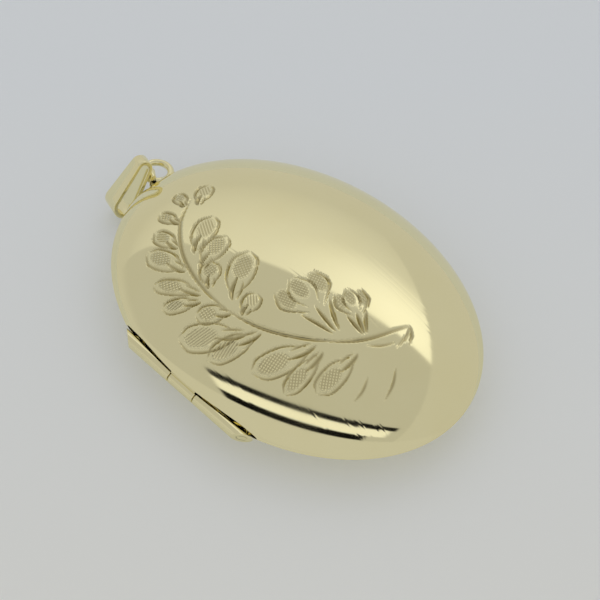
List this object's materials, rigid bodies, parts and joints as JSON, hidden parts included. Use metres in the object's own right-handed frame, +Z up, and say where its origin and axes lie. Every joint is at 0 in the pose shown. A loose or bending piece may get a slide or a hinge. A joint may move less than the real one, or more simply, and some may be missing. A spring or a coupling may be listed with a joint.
{
  "type": "oval hinged locket",
  "caption": "oval domed yellow gold locket engraved with flowers and leaves, hinged along one side, with photo frames inside, a jump ring and a tapered bail",
  "frame": {"origin": "centre of the small flat panel under the back cover that the locket rests on", "axes": "+Z up through the domed engraved front, +Y along the length towards the bail, hinge on the -X side"},
  "size_m": [0.0329, 0.0485, 0.0095],
  "materials": {
    "gold": "polished pale yellow gold",
    "window": "clear sheet",
    "card": "matt blank card"
  },
  "bodies": {
    "back_half": {"back_cover": "gold", "closing_bezel": "gold", "catch_bead": "gold", "back_liner": "gold", "back_photo_frame": "gold", "back_window": "window", "back_photo_card": "card", "hinge_knuckle_upper": "gold", "hinge_knuckle_lower": "gold", "hinge_pin": "gold", "hinge_bearer_back_upper": "gold", "hinge_bearer_back_lower": "gold", "top_loop": "gold"},
    "front_half": {"front_cover": "gold", "front_liner": "gold", "front_photo_frame": "gold", "front_window": "window", "front_photo_card": "card", "hinge_knuckle_middle": "gold", "hinge_bearer_front": "gold"},
    "ring_link": {"jump_ring": "gold"},
    "bail_link": {"bail": "gold"}
  },
  "joints": [
    {"name": "front_hinge", "type": "hinge", "parent": "back_half", "child": "front_half", "pos_m": [-0.0157, 0, 0.004], "axis": [0, -1, 0], "range_deg": [0, 165]},
    {"name": "ring_swing", "type": "hinge", "parent": "back_half", "child": "ring_link", "pos_m": [0.00065, 0.02315, 0.00354], "axis": [0.5298, -0.8454, -0.0687], "range_deg": [-8, 10]},
    {"name": "bail_swing", "type": "hinge", "parent": "ring_link", "child": "bail_link", "pos_m": [0.0019, 0.02395, 0.00332], "axis": [0.16, 0.02, 0.9869], "range_deg": [-40, 0]}
  ]
}
